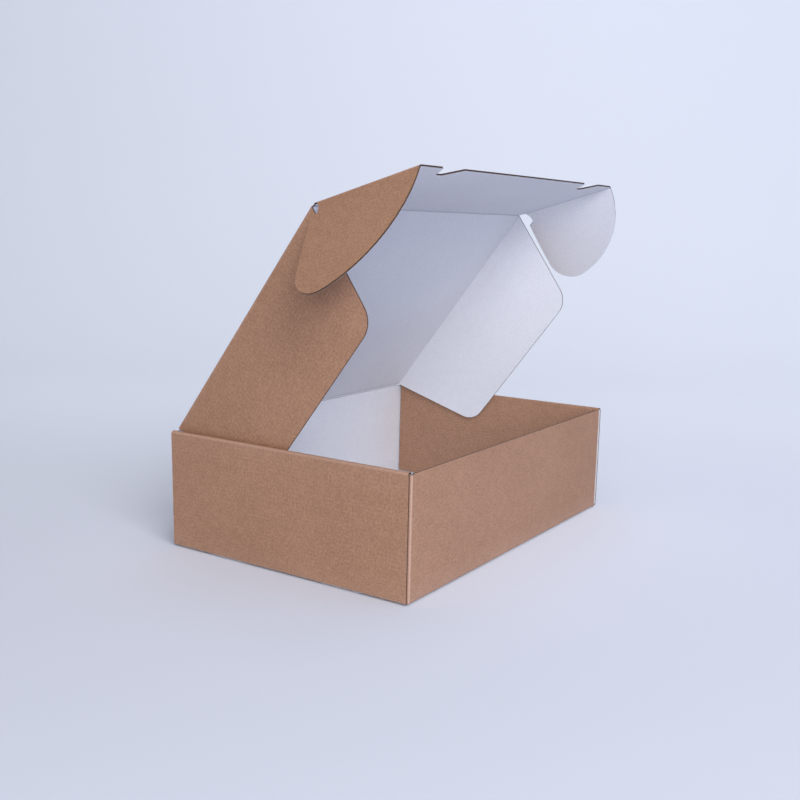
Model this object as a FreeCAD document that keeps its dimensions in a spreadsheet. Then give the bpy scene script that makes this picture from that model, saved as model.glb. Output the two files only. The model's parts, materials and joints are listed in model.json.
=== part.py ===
import FreeCAD, Part
import Sketcher
import os
import re

# Corrugated mailer box: one folded tray with a hinged lid that carries two side flaps and a tuck
# flap with two ears. Millimetres. X runs along the width, Y from front to back, Z up.

doc = FreeCAD.newDocument("mailer_box")
sheet = doc.addObject("Spreadsheet::Sheet", "Sizes")

SIZES = [
    ("box_width", "350", "outside width, left wall to right wall"),
    ("box_depth", "240", "outside depth, front wall to back wall"),
    ("wall_height", "101", "height of the folded-over side walls"),
    ("board", "1.4", "thickness of the corrugated board"),
    ("layer_gap", "0.15", "air between two layers of a double side wall"),
    ("fold_gap", "0.2", "air left at a fold so that the panel can turn"),
    ("slide_gap", "0.2", "air between an ear or a flap and the layer it slides along"),
    ("corner_setback", "1", "raw end of an outer side wall behind the front face"),
    ("roll_setback", "3.6", "raw end of an inner side wall before the front wall"),
    ("front_drop", "1", "front wall below the side ledges"),
    ("seat_gap", "0.15", "air under a corner flap and an inner side wall"),
    ("corner_flap_length", "82", "corner flap from the front or back face"),
    ("corner_flap_slope", "9", "taper of a corner flap towards its free end"),
    ("corner_flap_drop", "1.8", "top of a corner flap below the ledge top"),
    ("tab_width", "38", "lock tab of an inner side wall"),
    ("tab_centre", "58", "lock tab from the middle of the wall"),
    ("tab_side_gap", "0.4", "slot longer than the tab at each end"),
    ("fold_radius", "1", "outside radius of a fold"),
    ("hinge_rise", "0.25", "lid hinge line above the ledges"),
    ("lid_angle", "52.8", "lid opened from closed, degrees"),
    ("tuck_angle", "36.7", "tuck flap bent from the plane of the lid, degrees"),
    ("ear_angle", "54", "ear bent from the plane of the tuck flap, degrees"),
    ("tuck_wall_gap", "0.45", "closed tuck flap behind the front wall"),
    ("crease_relief", "2.2", "corner relief at the ends of the lid creases"),
    ("side_flap_depth", "95.7", "lid side flap from its crease to its free edge"),
    ("side_flap_back", "2.5", "lid side flap starts this far from the hinge"),
    ("side_flap_front_gap", "1.1", "lid side flap ends this far before the tuck crease"),
    ("side_flap_back_corner", "35.4", "back free corner from the hinge line"),
    ("side_flap_front_corner", "203.3", "front free corner from the hinge line"),
    ("side_flap_round", "20", "rounding of the free corners"),
    ("tuck_depth", "99", "tuck flap from its crease to its free edge"),
    ("notch_centre", "124", "finger notch from the middle"),
    ("notch_mouth", "31", "finger notch at the free edge"),
    ("notch_floor", "8.5", "finger notch at its floor"),
    ("notch_depth", "14.2", "depth of a finger notch"),
    ("notch_round", "2.4", "rounding in a finger notch"),
    ("ear_start", "5", "ear crease starts this far from the tuck crease"),
    ("ear_heel", "8.7", "relief in the lower edge of an ear, which clears the tray corner"),
    ("ear_heel_rise", "7.5", "start of that relief above the ear crease"),
    ("ear_heel_end", "10.8", "end of that relief above the ear crease"),
    ("ear_foot", "3.4", "lower edge of an ear beside the relief"),
    ("ear_foot_rise", "14.5", "that place above the ear crease"),
    ("ear_lower_edge", "2.8", "lower edge of an ear at its outer corner"),
    ("ear_arc_centre", "-1", "centre of the ear arc from the tuck crease"),
    ("ear_arc_below", "8.3", "centre of the ear arc below the ear crease"),
    ("ear_corner_round", "22", "rounding of the outer corner of an ear"),
    ("half_width", "=box_width / 2", ""),
    ("half_depth", "=box_depth / 2", ""),
    ("half_board", "=board / 2", ""),
    ("end_round", "=0.49 * board", "nearly full round at a turning end"),
    ("edge_round", "=0.95 * board", "outside round where a side flap turns"),
    ("layer", "=board + layer_gap", ""),
    ("corner_x", "=half_width - layer", "outer face of the corner flaps"),
    ("corner_y", "=half_depth - corner_setback", "raw end of the outer side walls"),
    ("roll_outer", "=half_width - 2 * layer", "hidden face of the inner side wall"),
    ("roll_inner", "=roll_outer - board", "face of the inner side wall"),
    ("roll_y", "=half_depth - board - roll_setback", "raw end of the inner side walls"),
    ("front_top", "=wall_height - front_drop", ""),
    ("flap_low", "=board + seat_gap", ""),
    ("flap_high", "=wall_height - corner_flap_drop", ""),
    ("flap_end", "=half_depth - corner_flap_length", ""),
    ("slot_half", "=tab_width / 2 + tab_side_gap", ""),
    ("tab_half", "=tab_width / 2", ""),
    ("hinge_y", "=half_depth - half_board", "lid hinge line"),
    ("hinge_z", "=wall_height + hinge_rise", "lid hinge line"),
    ("turn_end", "=half_board + fold_gap", "flat end of a panel from its fold line"),
    ("back_top", "=hinge_z - turn_end", "top of the back wall"),
    ("ear_outer", "=roll_inner - slide_gap", "outer face of a closed ear"),
    ("ear_axis", "=ear_outer - half_board", "fold line of an ear"),
    ("side_outer", "=ear_outer - board - slide_gap", "outer face of a lid side flap"),
    ("side_inner", "=side_outer - board", "fold line of a lid side flap"),
    ("relief_x", "=side_outer - crease_relief", "end of a lid crease"),
    ("lid_length", "=box_depth - board - tuck_wall_gap - board", "hinge line to tuck crease"),
    ("side_flap_front", "=lid_length - half_board - side_flap_front_gap", ""),
    ("notch_in", "=notch_centre - notch_mouth / 2", ""),
    ("notch_out", "=notch_centre + notch_mouth / 2", ""),
    ("notch_floor_in", "=notch_centre - notch_floor / 2", ""),
    ("notch_floor_out", "=notch_centre + notch_floor / 2", ""),
    ("notch_base", "=tuck_depth - notch_depth", ""),
    ("ear_radius", "=tuck_depth - ear_arc_centre", ""),
    ("ear_corner", "=sqrt(ear_radius ^ 2 - (ear_arc_centre - ear_lower_edge) ^ 2) - ear_arc_below", ""),
    ("ear_top", "=ear_arc_centre + sqrt(ear_radius ^ 2 - (turn_end + ear_arc_below) ^ 2)", ""),
]

for row, (alias, value, note) in enumerate(SIZES, start=1):
    sheet.set("A%d" % row, alias)
    sheet.set("B%d" % row, value)
    sheet.set("C%d" % row, note)
    sheet.setAlias("B%d" % row, alias)
doc.recompute()

NAMES = {alias for alias, value, note in SIZES}
ZERO = "0"


def link(formula):
    """Point every size name in a formula at the sheet."""
    return re.sub(r"[a-z_]+", lambda word: ("Sizes." if word.group() in NAMES else "") + word.group(), formula)


def size(formula):
    """Value of a formula now, used only to place new geometry near its constraints."""
    return float(sheet.evalExpression(link(formula)))


def new_body(name):
    body = doc.addObject("PartDesign::Body", name)
    body.Label = name
    return body


def new_sketch(body, name, plane="XY_Plane", offset=ZERO):
    sketch = body.newObject("Sketcher::SketchObject", name)
    role = [part for part in body.Origin.OriginFeatures if part.Role == plane]
    sketch.AttachmentSupport = [(role[0], "")]
    sketch.MapMode = "FlatFace"
    sketch.setExpression("AttachmentOffset.Base.z", link(offset))
    return sketch


def pin(sketch, index, end, x, y):
    """Hold one end of a sketch edge at a place given by two formulas."""
    place = sketch.addConstraint(Sketcher.Constraint("DistanceX", -1, 1, index, end, size(x)))
    sketch.setExpression("Constraints[%d]" % place, link(x))
    place = sketch.addConstraint(Sketcher.Constraint("DistanceY", -1, 1, index, end, size(y)))
    sketch.setExpression("Constraints[%d]" % place, link(y))


def add_loop(sketch, points):
    """Closed outline of straight edges through pairs of formulas."""
    spots = [FreeCAD.Vector(size(x), size(y), 0) for x, y in points]
    first = sketch.GeometryCount
    for number, spot in enumerate(spots):
        follower = spots[(number + 1) % len(spots)]
        sketch.addGeometry(Part.LineSegment(spot, follower), False)
    for number in range(len(spots)):
        follower = first + (number + 1) % len(spots)
        sketch.addConstraint(Sketcher.Constraint("Coincident", first + number, 2, follower, 1))
    for number, (x, y) in enumerate(points):
        pin(sketch, first + number, 1, x, y)


def add_box(sketch, left, right, low, high):
    add_loop(sketch, [(left, low), (right, low), (right, high), (left, high)])


def raise_pad(body, name, sketch, length):
    pad = body.newObject("PartDesign::Pad", name)
    pad.Profile = sketch
    pad.setExpression("Length", link(length))
    pad.Refine = True
    sketch.Visibility = False
    doc.recompute()
    return pad


def sink_pocket(body, name, sketch, length):
    pocket = body.newObject("PartDesign::Pocket", name)
    pocket.Profile = sketch
    pocket.setExpression("Length", link(length))
    sketch.Visibility = False
    doc.recompute()
    return pocket


def round_edges(body, name, radius, middles):
    """Round the edges of the tip whose middles are at the given places, three formulas each."""
    base = body.Tip
    found = []
    for place in middles:
        target = FreeCAD.Vector(*[size(part) for part in place])
        spans = []
        for number, edge in enumerate(base.Shape.Edges, start=1):
            middle = edge.valueAt((edge.FirstParameter + edge.LastParameter) / 2)
            spans.append(((middle - target).Length, number))
        found.append("Edge%d" % min(spans)[1])
    fillet = body.newObject("PartDesign::Fillet", name)
    fillet.Base = (base, found)
    fillet.setExpression("Radius", link(radius))
    doc.recompute()
    return fillet


# The tray: bottom, four walls, the folded-over side walls and the corner flaps, one folded sheet.
tray = new_body("tray")

profile = new_sketch(tray, "bottom_outline")
add_loop(profile, [
    ("-corner_x", "-half_depth"), ("corner_x", "-half_depth"), ("corner_x", "-corner_y"),
    ("half_width", "-corner_y"), ("half_width", "corner_y"), ("corner_x", "corner_y"),
    ("corner_x", "half_depth"), ("-corner_x", "half_depth"), ("-corner_x", "corner_y"),
    ("-half_width", "corner_y"), ("-half_width", "-corner_y"), ("-corner_x", "-corner_y"),
])
raise_pad(tray, "bottom", profile, "board")

profile = new_sketch(tray, "slot_outline", offset="board")
for side in ("-", ""):
    for end in ("-", ""):
        outer = side + "(roll_outer + layer_gap)"
        inner = side + "(roll_inner - layer_gap)"
        low = "%s tab_centre - slot_half" % end
        high = "%s tab_centre + slot_half" % end
        add_box(profile, outer, inner, low, high)
sink_pocket(tray, "lock_slots", profile, "board")

profile = new_sketch(tray, "front_outline")
add_box(profile, "-corner_x", "corner_x", "-half_depth", "-half_depth + board")
raise_pad(tray, "front_wall", profile, "front_top")

profile = new_sketch(tray, "back_outline")
add_box(profile, "-corner_x", "corner_x", "half_depth - board", "half_depth")
raise_pad(tray, "back_wall", profile, "back_top")

profile = new_sketch(tray, "side_outline")
for side in ("-", ""):
    add_box(profile, side + "half_width", side + "(half_width - board)", "-corner_y", "corner_y")
raise_pad(tray, "outer_side_walls", profile, "wall_height")

profile = new_sketch(tray, "ledge_outline", offset="wall_height - board")
for side in ("-", ""):
    add_box(profile, side + "half_width", side + "roll_inner", "-roll_y", "roll_y")
raise_pad(tray, "ledges", profile, "board")

profile = new_sketch(tray, "roll_outline", offset="flap_low")
for side in ("-", ""):
    add_box(profile, side + "roll_outer", side + "roll_inner", "-roll_y", "roll_y")
raise_pad(tray, "inner_side_walls", profile, "wall_height - flap_low")

profile = new_sketch(tray, "tab_outline")
for side in ("-", ""):
    for end in ("-", ""):
        low = "%s tab_centre - tab_half" % end
        high = "%s tab_centre + tab_half" % end
        add_box(profile, side + "roll_outer", side + "roll_inner", low, high)
raise_pad(tray, "lock_tabs", profile, "2 * board")

for name, start in (("left", "-corner_x"), ("right", "corner_x - board")):
    profile = new_sketch(tray, name + "_corner_outline", "YZ_Plane", start)
    for end in ("-", ""):
        add_loop(profile, [
            (end + "half_depth", "flap_low"), (end + "flap_end", "flap_low + corner_flap_slope"),
            (end + "flap_end", "flap_high - corner_flap_slope"), (end + "half_depth", "flap_high"),
        ])
    raise_pad(tray, name + "_corner_flaps", profile, "board")

round_edges(tray, "ledge_rounds", "fold_radius", [
    (side + across, ZERO, "wall_height") for side in ("-", "") for across in ("half_width", "roll_inner")
])
round_edges(tray, "corner_rounds", "fold_radius", [
    (side + "corner_x", "-half_depth", "front_top / 2") for side in ("-", "")
] + [
    (side + "corner_x", "half_depth", "back_top / 2") for side in ("-", "")
])

# The lid panel, drawn flat from its hinge line; its own Z points into the box.
lid = new_body("lid_panel")
profile = new_sketch(lid, "lid_outline", offset="-half_board")
add_loop(profile, [
    ("-relief_x", "-half_board"), ("relief_x", "-half_board"), ("relief_x", "side_flap_back"),
    ("side_outer", "side_flap_back"), ("side_outer", "side_flap_front"),
    ("relief_x", "side_flap_front"), ("relief_x", "lid_length + half_board"),
    ("-relief_x", "lid_length + half_board"), ("-relief_x", "side_flap_front"),
    ("-side_outer", "side_flap_front"), ("-side_outer", "side_flap_back"),
    ("-relief_x", "side_flap_back"),
])
raise_pad(lid, "lid_board", profile, "board")
round_edges(lid, "lid_crease_rounds", "end_round", [
    (ZERO, line, face) for line in ("-half_board", "lid_length + half_board")
    for face in ("-half_board", "half_board")
])
round_edges(lid, "lid_side_rounds", "edge_round", [
    (side + "side_outer", "(side_flap_back + side_flap_front) / 2", "-half_board") for side in ("-", "")
])
lid.setExpression("Placement", link(
    "placement(vector(0; hinge_y; hinge_z); rotation(vector(1; 0; 0); 180 - lid_angle))"))

# The two side flaps of the lid: X along the crease, Y away from it, bent square to the lid.
for name, side, start in (("lid_side_flap_left", "-", "-board"), ("lid_side_flap_right", "", ZERO)):
    flap = new_body(name)
    profile = new_sketch(flap, name + "_outline", offset=start)
    add_loop(profile, [
        ("side_flap_back", "fold_gap"), ("side_flap_front", "fold_gap"),
        ("side_flap_front_corner", "side_flap_depth"), ("side_flap_back_corner", "side_flap_depth"),
    ])
    raise_pad(flap, name + "_board", profile, "board")
    round_edges(flap, name + "_rounds", "side_flap_round", [
        (corner, "side_flap_depth", start + " + half_board")
        for corner in ("side_flap_back_corner", "side_flap_front_corner")
    ])
    flap.setExpression("Placement", "lid_panel.Placement * " + link(
        "placement(vector(%sside_inner; 0; half_board); rotation(vector(1; 1; 1); 120))" % side))

# The tuck flap: Y away from the lid crease, Z into the box.
tuck = new_body("tuck_flap")
profile = new_sketch(tuck, "tuck_outline", offset="-half_board")
add_loop(profile, [
    ("-relief_x", "turn_end"), ("relief_x", "turn_end"), ("relief_x", "ear_start"),
    ("ear_outer", "ear_start"), ("ear_outer", "tuck_depth"), ("notch_out", "tuck_depth"),
    ("notch_floor_out", "notch_base"), ("notch_floor_in", "notch_base"), ("notch_in", "tuck_depth"),
    ("-notch_in", "tuck_depth"), ("-notch_floor_in", "notch_base"), ("-notch_floor_out", "notch_base"),
    ("-notch_out", "tuck_depth"), ("-ear_outer", "tuck_depth"), ("-ear_outer", "ear_start"),
    ("-relief_x", "ear_start"),
])
raise_pad(tuck, "tuck_board", profile, "board")
round_edges(tuck, "notch_rounds", "notch_round", [
    (side + corner, "notch_base", ZERO) for side in ("-", "") for corner in ("notch_floor_in", "notch_floor_out")
])
round_edges(tuck, "tuck_side_rounds", "end_round", [
    (side + "ear_outer", "(ear_start + tuck_depth) / 2", face) for side in ("-", "")
    for face in ("-half_board", "half_board")
])
tuck.setExpression("Placement", "lid_panel.Placement * " + link(
    "placement(vector(0; lid_length; 0); rotation(vector(1; 0; 0); tuck_angle))"))

# The two ears of the tuck flap: X along the ear crease, Y away from it.
for name, side, turn in (("ear_left", "-", "ear_angle - 90"), ("ear_right", "", "90 - ear_angle")):
    ear = new_body(name)
    profile = new_sketch(ear, name + "_outline", offset="-half_board")
    corners = [
        ("ear_start", "turn_end"), ("ear_heel", "ear_heel_rise"), ("ear_heel", "ear_heel_end"),
        ("ear_foot", "ear_foot_rise"), ("ear_lower_edge", "ear_corner"), ("ear_top", "turn_end"),
    ]
    spots = [FreeCAD.Vector(size(x), size(y), 0) for x, y in corners]
    for number in range(4):
        profile.addGeometry(Part.LineSegment(spots[number], spots[number + 1]), False)
    hub = FreeCAD.Vector(size("ear_arc_centre"), size("-ear_arc_below"), 0)
    ring = Part.Circle(hub, FreeCAD.Vector(0, 0, 1), size("ear_radius"))
    profile.addGeometry(Part.ArcOfCircle(ring, ring.parameter(spots[5]), ring.parameter(spots[4])), False)
    profile.addGeometry(Part.LineSegment(spots[5], spots[0]), False)
    for number in range(3):
        profile.addConstraint(Sketcher.Constraint("Coincident", number, 2, number + 1, 1))
    profile.addConstraint(Sketcher.Constraint("Coincident", 3, 2, 4, 2))
    profile.addConstraint(Sketcher.Constraint("Coincident", 4, 1, 5, 1))
    profile.addConstraint(Sketcher.Constraint("Coincident", 5, 2, 0, 1))
    place = profile.addConstraint(Sketcher.Constraint("DistanceY", 4, 3, -1, 1, size("ear_arc_below")))
    profile.setExpression("Constraints[%d]" % place, link("ear_arc_below"))
    for number in range(4):
        pin(profile, number, 1, *corners[number])
    pin(profile, 3, 2, *corners[4])
    pin(profile, 5, 1, *corners[5])
    raise_pad(ear, name + "_board", profile, "board")
    round_edges(ear, name + "_round", "ear_corner_round", [("ear_lower_edge", "ear_corner", ZERO)])
    ear.setExpression("Placement", "tuck_flap.Placement * " + link(
        "placement(vector(%sear_axis; 0; 0); rotation(vector(1; 1; 1); 120))"
        " * placement(vector(0; 0; 0); rotation(vector(1; 0; 0); %s))" % (side, turn)))

doc.recompute()

PARTS = (
    "tray", "lid_panel", "lid_side_flap_left", "lid_side_flap_right", "tuck_flap", "ear_left", "ear_right",
)
for item in doc.Objects:
    if "Invalid" in item.State or "Error" in item.State:
        raise RuntimeError("recompute failed at " + item.Name)
os.makedirs("parts", exist_ok=True)
for name in PARTS:
    shape = doc.getObject(name).Shape
    if not shape.isValid() or len(shape.Solids) != 1:
        raise RuntimeError("bad solid in " + name)
    shape.exportStep("parts/" + name + ".step")
    box = shape.BoundBox
    print("%-20s volume %9.1f  x %7.1f %7.1f  y %7.1f %7.1f  z %7.1f %7.1f" % (
        name, shape.Volume, box.XMin, box.XMax, box.YMin, box.YMax, box.ZMin, box.ZMax))
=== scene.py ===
# %% [markdown]
# # A corrugated mailer box
# The real box is one die-cut sheet of board, kraft brown outside and white inside, folded into a
# tray with double side walls and a lid. The solid model gives every panel its place. A panel could
# stay a plain slab with a picture of flutes on its edge, but the open edges face the camera. So
# each panel is made again as what it is: two thin paper liners with a wavy paper between them.

# %% Load the solid model
import bpy
import json
import math
import numpy as np
from mathutils import Matrix, Vector

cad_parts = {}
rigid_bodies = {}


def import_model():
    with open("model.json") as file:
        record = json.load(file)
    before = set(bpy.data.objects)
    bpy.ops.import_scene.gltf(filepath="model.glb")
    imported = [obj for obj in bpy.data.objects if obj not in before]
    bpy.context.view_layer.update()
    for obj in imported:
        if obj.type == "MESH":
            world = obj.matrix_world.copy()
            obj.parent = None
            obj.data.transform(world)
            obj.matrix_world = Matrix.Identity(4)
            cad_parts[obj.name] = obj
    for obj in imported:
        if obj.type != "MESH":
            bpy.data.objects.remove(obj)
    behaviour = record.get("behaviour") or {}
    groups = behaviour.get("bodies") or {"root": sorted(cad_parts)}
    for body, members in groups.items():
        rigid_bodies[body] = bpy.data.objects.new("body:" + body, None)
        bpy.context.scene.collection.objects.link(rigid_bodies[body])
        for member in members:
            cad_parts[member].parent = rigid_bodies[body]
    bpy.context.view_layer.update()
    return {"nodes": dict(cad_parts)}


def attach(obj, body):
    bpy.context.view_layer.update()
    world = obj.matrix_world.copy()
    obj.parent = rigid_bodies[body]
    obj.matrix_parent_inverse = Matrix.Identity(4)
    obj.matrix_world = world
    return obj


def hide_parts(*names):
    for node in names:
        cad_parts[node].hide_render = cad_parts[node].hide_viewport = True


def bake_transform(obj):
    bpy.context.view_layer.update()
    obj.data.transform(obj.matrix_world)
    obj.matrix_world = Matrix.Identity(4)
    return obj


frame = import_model()
print("nodes:", ", ".join(sorted(frame["nodes"])))

# %% [markdown]
# The camera comes first, so that every later choice can be looked at. It stands in front of the
# left corner, a little above the box, and is tipped slightly to one side. Its place and its lens
# were found together, by matching the corners of the box in the picture, so it needs no shift.

# %% Camera
AZIMUTH, ELEVATION, ROLL = math.radians(-56.569), math.radians(9.669), math.radians(1.328)
DISTANCE, ASIDE, ABOVE = 0.961057, 0.001892, -0.116383
FOCAL_PIXELS, PICTURE_PIXELS, SENSOR = 1023.98, 800, 36


def camera_matrix():
    """Where the camera is and which way it looks, from its angles and distance."""
    back = Vector((math.sin(AZIMUTH) * math.cos(ELEVATION),
                   -math.cos(AZIMUTH) * math.cos(ELEVATION), math.sin(ELEVATION)))
    level = Vector((0, 0, 1)).cross(back).normalized()
    upright = back.cross(level)
    right = level * math.cos(ROLL) + upright * math.sin(ROLL)
    up = upright * math.cos(ROLL) - level * math.sin(ROLL)
    place = back * DISTANCE - right * ASIDE - up * ABOVE
    turn = Matrix((right, up, back)).transposed().to_4x4()
    return Matrix.Translation(place) @ turn


camera = bpy.data.objects.new("camera", bpy.data.cameras.new("camera"))
camera.data.sensor_width = SENSOR
camera.data.lens = FOCAL_PIXELS / PICTURE_PIXELS * SENSOR
camera.data.clip_start = 0.05
camera.matrix_world = camera_matrix()
bpy.context.scene.collection.objects.link(camera)
bpy.context.scene.camera = camera
print("camera at", [round(x, 3) for x in camera.matrix_world.translation],
      "lens", round(camera.data.lens, 1))

# %% [markdown]
# These are the sizes of the folded box in millimetres, the same as in the solid model. The board
# is E flute: 1.4 mm thick, with about three waves to the centimetre.

# %% Sizes
HALF_X, HALF_Y, TOP = 175.0, 120.0, 101.0
BOARD, LINER, PAPER, PITCH = 1.4, 0.24, 0.15, 3.3
SKIN, UNDER = BOARD / 2, BOARD / 2 - LINER
WAVE = BOARD / 2 - LINER - PAPER / 2
LAYER = BOARD + 0.15
WALL_X = HALF_X - BOARD / 2
CORNER_X = HALF_X - LAYER - BOARD / 2
ROLL_X = HALF_X - 2 * LAYER - BOARD / 2
WALL_Y = HALF_Y - BOARD / 2
HINGE = (WALL_Y, TOP + 0.25)
LID_ANGLE, TUCK_ANGLE, EAR_ANGLE = math.radians(52.8), math.radians(36.7), math.radians(54)
LID_LENGTH = 236.75
EAR_X, FLAP_X = 169.6, 168.0
TUCK_DEPTH, FLAP_DEPTH = 99.0, 95.7
FOLD = 1.35
print("board layers:", LINER, "liner,", round(2 * WAVE, 2), "wave height")

# %% [markdown]
# Colours are written as the eye reads them on a screen and turned to linear light by one function.
# One more small function adds a node and fills its inputs, with links or with plain values.

# %% Helpers for materials


def paint(text):
    """A colour such as #A98570 as linear red, green, blue and alpha."""
    parts = [int(text[k:k + 2], 16) / 255 for k in (1, 3, 5)]
    return [c / 12.92 if c <= 0.04045 else ((c + 0.055) / 1.055) ** 2.4 for c in parts] + [1.0]


def add(tree, kind, settings=None, links=None, **values):
    """Add a node. settings are its own properties, values its inputs by name, and links its
    inputs by name or number, each with a socket to link or a plain value.
    """
    node = tree.nodes.new(kind)
    for key, value in (settings or {}).items():
        setattr(node, key, value)
    for key, value in values.items():
        node.inputs[key.replace("_", " ")].default_value = value
    for key, source in (links or {}).items():
        if isinstance(source, bpy.types.NodeSocket):
            tree.links.new(source, node.inputs[key])
        else:
            node.inputs[key].default_value = source
    return node


def shader(name, **values):
    """A material with an empty Principled shader, its node tree and that shader."""
    material = bpy.data.materials.new(name)
    material.use_nodes = True
    tree = material.node_tree
    surface = tree.nodes["Principled BSDF"]
    for key, value in values.items():
        surface.inputs[key.replace("_", " ")].default_value = value
    return material, tree, surface


# %% [markdown]
# Kraft liner is unbleached paper and white liner has a bleached face. Kraft shows fine fibres, a
# grain of one or two millimetres, darker and paler clouds and a few dark specks, and the flutes
# show through both as very faint stripes. One noise could give one of these, so several are added,
# each with its own weight. All read the board's own flat coordinates, in metres, which are kept in
# a UV map, so that they follow each panel round its folds. Folded edges get a colour of their own,
# which the meshes carry as an attribute: kraft is paler there, partly because the paper is
# stretched and rubbed and partly as a painted highlight where the rounded fold catches light from
# both faces, and white is greyer, as painted shade in the pressed crease.

# %% Kraft and white liner
STRIPE_TONE, STRIPE_RELIEF = 0.012, 0.22


def liner_material(name, base, pale, dark, contrast, rub_and_shading_colour, roughness, gloss, bump, flecks):
    """Paper liner: base colour with fibres, clouds, specks and the flutes that show through."""
    material, tree, surface = shader(name, Roughness=roughness, Specular_IOR_Level=gloss, IOR=1.45)
    flat = add(tree, "ShaderNodeUVMap", {"uv_map": "board"}).outputs[0]
    # Fibres about 6 mm long and 1 mm wide, coarser than real ones, which are too fine to show.
    stretch = add(tree, "ShaderNodeMapping", {"vector_type": "POINT"}, {"Vector": flat},
                  Scale=(160, 1100, 1))
    fibres = add(tree, "ShaderNodeTexNoise", {"noise_dimensions": "2D"},
                 {"Vector": stretch.outputs[0]}, Scale=1.0, Detail=5.0, Roughness=0.62)
    # Grain of 2 mm with finer steps in it, clouds of 9 mm, and broad patches of 70 mm.
    grain = add(tree, "ShaderNodeTexNoise", {"noise_dimensions": "2D"}, {"Vector": flat},
                Scale=520.0, Detail=3.0, Roughness=0.75)
    clouds = add(tree, "ShaderNodeTexNoise", {"noise_dimensions": "2D"}, {"Vector": flat},
                 Scale=110.0, Detail=3.0, Roughness=0.6)
    broad = add(tree, "ShaderNodeTexNoise", {"noise_dimensions": "2D"}, {"Vector": flat},
                Scale=14.0, Detail=2.0)
    # Specks are the rare peaks of a noise, about half a millimetre wide.
    specks = add(tree, "ShaderNodeTexNoise", {"noise_dimensions": "2D"}, {"Vector": flat},
                 Scale=620.0, Detail=1.0)
    rare = add(tree, "ShaderNodeMapRange", None, {"Value": specks.outputs[0]},
               From_Min=0.70, From_Max=0.80, To_Min=0.0, To_Max=flecks)
    across = add(tree, "ShaderNodeSeparateXYZ", None, {"Vector": flat}).outputs[0]
    turn = add(tree, "ShaderNodeMath", {"operation": "MULTIPLY"},
               {0: across, 1: 2 * math.pi / (PITCH / 1000)})
    stripe = add(tree, "ShaderNodeMath", {"operation": "SINE"}, {0: turn.outputs[0]})
    parts = []
    for source, weight in ((grain, 0.5), (fibres, 0.26), (clouds, 0.14), (broad, 0.10)):
        parts.append(add(tree, "ShaderNodeMath", {"operation": "MULTIPLY"},
                         {0: source.outputs[0], 1: weight}))
    total = parts[0]
    for part in parts[1:]:
        total = add(tree, "ShaderNodeMath", {"operation": "ADD"},
                    {0: total.outputs[0], 1: part.outputs[0]})
    striped = add(tree, "ShaderNodeMath", {"operation": "MULTIPLY_ADD"},
                  {0: stripe.outputs[0], 1: STRIPE_TONE, 2: total.outputs[0]})
    tone = add(tree, "ShaderNodeMapRange", None, {"Value": striped.outputs[0]},
               From_Min=0.5 - contrast, From_Max=0.5 + contrast, To_Min=0.0, To_Max=1.0)
    ramp = add(tree, "ShaderNodeValToRGB", None, {"Fac": tone.outputs[0]})
    ramp.color_ramp.elements[0].color = paint(dark)
    ramp.color_ramp.elements[1].color = paint(pale)
    ramp.color_ramp.elements.new(0.5).color = paint(base)
    speck_colour = [c * 0.62 for c in paint(dark)[:3]] + [1.0]
    flecked = add(tree, "ShaderNodeMix", {"data_type": "RGBA"},
                  {0: rare.outputs[0], 6: ramp.outputs[0], 7: speck_colour})
    # Folds: kraft paler from rubbing and a painted highlight, white darker as painted shade.
    worn = add(tree, "ShaderNodeAttribute", {"attribute_name": "worn"})
    rubbed_and_shaded = add(tree, "ShaderNodeMix", {"data_type": "RGBA"},
                 {0: worn.outputs["Fac"], 6: flecked.outputs[2], 7: paint(rub_and_shading_colour)})
    tree.links.new(rubbed_and_shaded.outputs[2], surface.inputs["Base Color"])
    raised = add(tree, "ShaderNodeMath", {"operation": "MULTIPLY_ADD"},
                 {0: stripe.outputs[0], 1: STRIPE_RELIEF, 2: fibres.outputs[0]})
    relief = add(tree, "ShaderNodeBump", None, {"Height": raised.outputs[0]},
                 Strength=1.0, Distance=bump)
    tree.links.new(relief.outputs[0], surface.inputs["Normal"])
    return material


# Kraft: warm brown, matt, with a faint sheen at a low angle from its calendered face. Its folds
# are paler, rubbed and with a painted highlight.
KRAFT = liner_material(
    name="kraft_liner", base="#A57D65", pale="#B48B71", dark="#967058", contrast=0.13,
    rub_and_shading_colour="#CBACA0", roughness=0.62, gloss=0.5, bump=0.00005, flecks=0.6)
# White: smoother and more even than kraft, and greyer in a crease, which is painted shade.
WHITE = liner_material(
    name="white_liner", base="#E0E1E9", pale="#E5E6EE", dark="#D9DAE3", contrast=0.14,
    rub_and_shading_colour="#9D9EAF", roughness=0.6, gloss=0.25, bump=0.00002, flecks=0.0)
print("made", KRAFT.name, "and", WHITE.name)

# %% [markdown]
# Where the board is cut, the die leaves a rough edge. The fluting is recycled paper, greyer and
# darker than the kraft face, and the hidden backs of the liners are raw brown. All these colours
# are darker still, as painted shade for the hollows of a cut edge, which lie in shadow. From a
# metre away a cut edge is only a thin dark line, so one fine noise is enough, read from Object
# coordinates.

# %% Cut edges and fluting


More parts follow.
